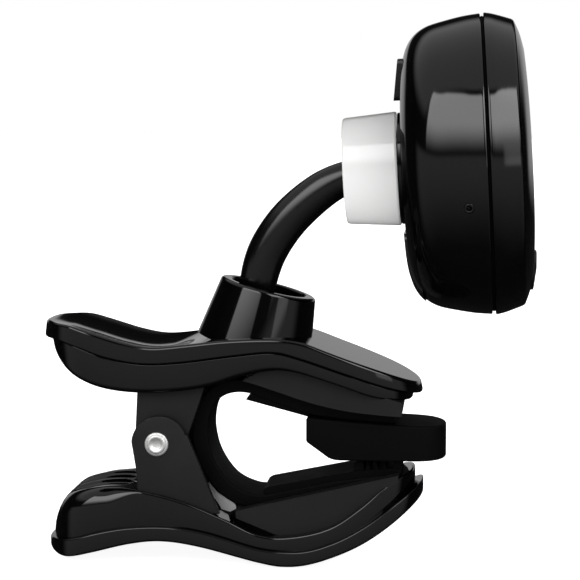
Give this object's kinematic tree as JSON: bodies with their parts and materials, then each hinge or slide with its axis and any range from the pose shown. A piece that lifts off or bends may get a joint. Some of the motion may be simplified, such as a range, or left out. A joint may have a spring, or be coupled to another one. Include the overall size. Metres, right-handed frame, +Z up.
{
  "type": "clip-on tuner",
  "caption": "Spring-clip instrument tuner: a padded jaw clip, a curved stem with a ball joint at each end, and a round display head with buttons and a battery door.",
  "frame": {"origin": "middle of the grip, where the upper rubber block meets the teeth of the lower pad, on the clip's centre plane", "axes": "+X from the thumb end to the jaw tips and the display's front, +Z up, square to the gripped plate, +Y across the clip"},
  "size_m": [0.0785, 0.0476, 0.0866],
  "materials": {
    "gloss_black": "gloss moulded, polished tool",
    "satin_black": "satin moulded, fine spark texture",
    "jaw_black": "matt moulded",
    "rubber_black": "matt rubber",
    "stem_black": "semi-gloss rubbery coating",
    "inner_black": "plain moulded",
    "collar_white": "gloss white moulded",
    "rivet_steel": "bright nickel plate",
    "spring_steel": "tempered strip, fine brushing",
    "screw_steel": "zinc plated",
    "lens_clear": "tinted clear acrylic, gloss",
    "mask_black": "printed mask, matt",
    "panel_grey": "display glass over dark ground",
    "led_green": "diffused light emitter",
    "board_green": "solder mask",
    "chip_black": "moulded package",
    "component_tan": "ceramic chips",
    "switch_grey": "moulded switch",
    "contact_gold": "plated spring contact",
    "cell_steel": "nickel plated can",
    "piezo_brass": "brass disc with ceramic",
    "lead_red": "wire insulation",
    "mic_metal": "drawn can"
  },
  "bodies": {
    "lower_clip": {"lower_cover": "gloss_black", "lower_lever": "gloss_black", "lower_jaw_tray": "jaw_black", "lower_pad": "rubber_black", "throat_liner": "rubber_black", "clamp_spring": "spring_steel", "spring_anchor": "spring_steel", "pivot_rivet": "rivet_steel", "pivot_washers": "screw_steel"},
    "upper_clip": {"upper_cover": "gloss_black", "upper_lever": "gloss_black", "upper_jaw_insert": "jaw_black", "upper_pad": "rubber_black", "grip_block": "rubber_black", "grip_block_pins": "screw_steel", "base_socket": "gloss_black", "base_retainer": "inner_black", "base_spring_washer": "spring_steel"},
    "base_swivel_ring": {"base_ball_seat": "inner_black"},
    "stem_arm": {"stem": "stem_black", "base_ball": "stem_black", "head_ball": "stem_black"},
    "head_swivel_ring": {"head_ball_seat": "inner_black"},
    "tuner_head": {"socket_collar": "collar_white", "collar_backplate": "inner_black", "collar_screws": "screw_steel", "rear_shell": "gloss_black", "front_shell": "gloss_black", "parting_gasket": "rubber_black", "shell_screws": "screw_steel", "display_lens": "lens_clear", "display_mask": "mask_black", "display_panel": "panel_grey", "display_leds": "led_green", "circuit_board": "board_green", "tuner_chip": "chip_black", "board_components": "component_tan", "board_pillars": "inner_black", "power_switch": "switch_grey", "function_switch": "switch_grey", "coin_cell": "cell_steel", "battery_contact_plus": "contact_gold", "battery_contact_minus": "contact_gold", "piezo_disc": "piezo_brass", "piezo_leads": "lead_red", "mic_capsule": "mic_metal", "mic_port_ring": "satin_black"},
    "power_push": {"power_button": "satin_black"},
    "function_push": {"function_key": "satin_black"},
    "battery_lid": {"battery_door": "gloss_black"}
  },
  "joints": [
    {"name": "jaw_open", "type": "hinge", "parent": "lower_clip", "child": "upper_clip", "pos_m": [-0.0363, 0, 0.0027], "axis": [0, -1, 0], "range_deg": [0, 28], "stiffness_Nm_per_rad": 0.35, "springref_deg": -45.84, "deforming": ["throat_liner", "clamp_spring"]},
    {"name": "base_swivel", "type": "hinge", "parent": "upper_clip", "child": "base_swivel_ring", "pos_m": [-0.02085, 0, 0.02108], "axis": [0.2419, 0, 0.9703], "continuous": true},
    {"name": "base_tilt", "type": "hinge", "parent": "base_swivel_ring", "child": "stem_arm", "pos_m": [-0.02085, 0, 0.02108], "axis": [0, 1, 0], "range_deg": [-6, 24]},
    {"name": "head_tilt", "type": "hinge", "parent": "stem_arm", "child": "head_swivel_ring", "pos_m": [-0.00287, 0, 0.04565], "axis": [0, -1, 0], "range_deg": [-10, 45]},
    {"name": "head_swivel", "type": "hinge", "parent": "head_swivel_ring", "child": "tuner_head", "pos_m": [-0.00287, 0, 0.04565], "axis": [0.9986, 0, 0.0523], "continuous": true},
    {"name": "power_press", "type": "slide", "parent": "tuner_head", "child": "power_push", "axis": [-0.9986, 0, -0.0523], "range_m": [0, 0.0003], "stiffness_N_per_m": 600, "springref_m": -0.001},
    {"name": "function_press", "type": "slide", "parent": "tuner_head", "child": "function_push", "axis": [0.9986, 0, 0.0523], "range_m": [0, 0.0003], "stiffness_N_per_m": 600, "springref_m": -0.001},
    {"name": "battery_door_slide", "type": "slide", "parent": "tuner_head", "child": "battery_lid", "axis": [0.1771, 0, -0.9842], "range_m": [0, 0.012]}
  ]
}
